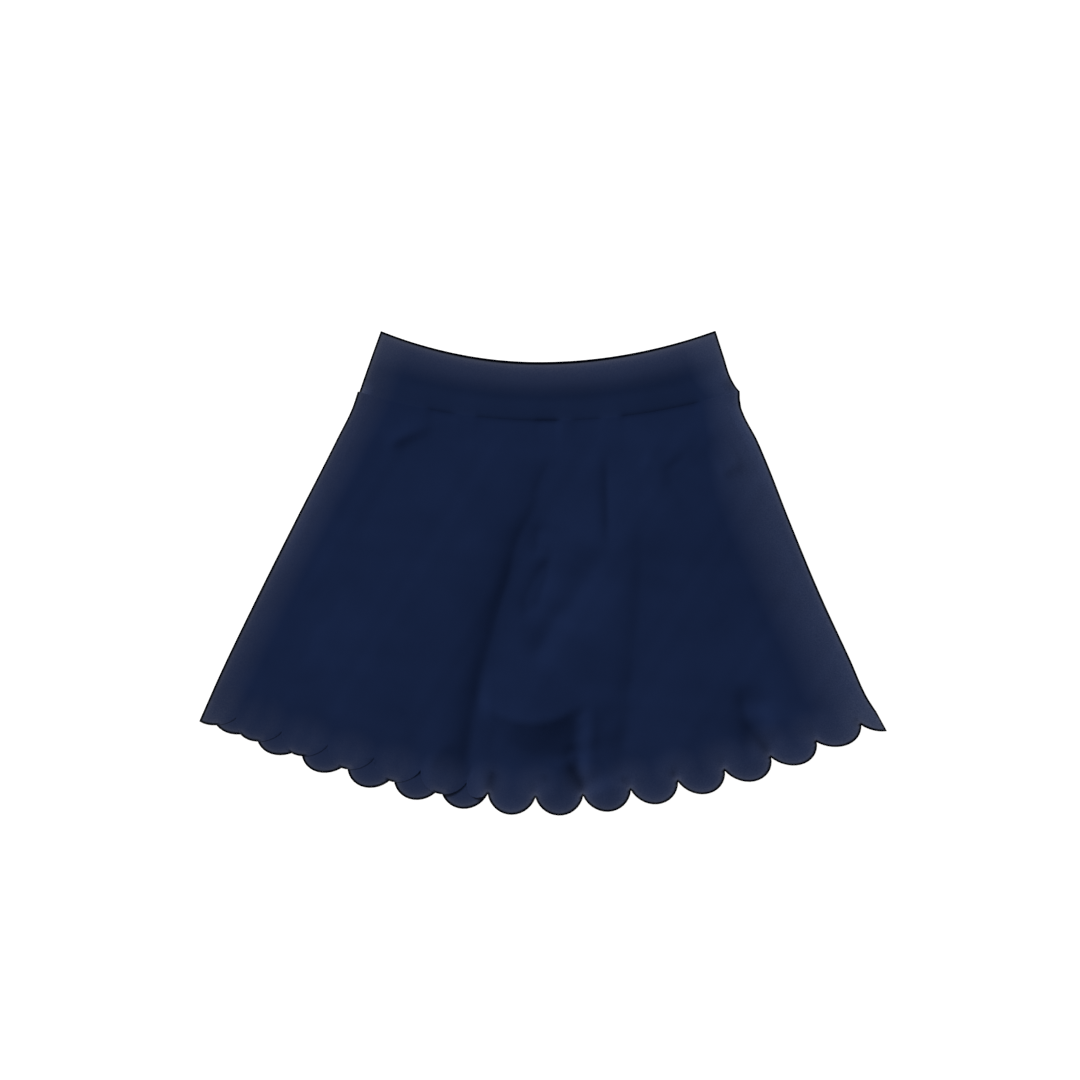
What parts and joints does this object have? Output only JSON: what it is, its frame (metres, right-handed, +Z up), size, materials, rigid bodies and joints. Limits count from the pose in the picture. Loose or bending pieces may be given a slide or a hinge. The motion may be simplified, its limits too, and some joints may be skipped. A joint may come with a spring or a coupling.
{
  "type": "athletic skort",
  "caption": "Flared pull-on athletic skort in smooth stretch knit with a wide waistband, scalloped hem and built-in shorts, laid flat with its front up.",
  "frame": {"origin": "on the surface that the garment lies on, under the middle of its outline", "axes": "+X to the right of the front panel as it is looked at, +Y towards the waist, +Z up out of the front panel"},
  "size_m": [0.6595, 0.4643, 0.0135],
  "materials": {
    "band_knit": "smooth matt double knit over elastic",
    "skirt_knit": "smooth matt stretch knit with a faint sheen at grazing angles",
    "shorts_knit": "matt stretch knit"
  },
  "bodies": {
    "root": {"waistband_front": "band_knit", "waistband_back": "band_knit", "skirt_front": "skirt_knit", "skirt_back": "skirt_knit", "shorts_left": "shorts_knit", "shorts_right": "shorts_knit"}
  },
  "joints": []
}
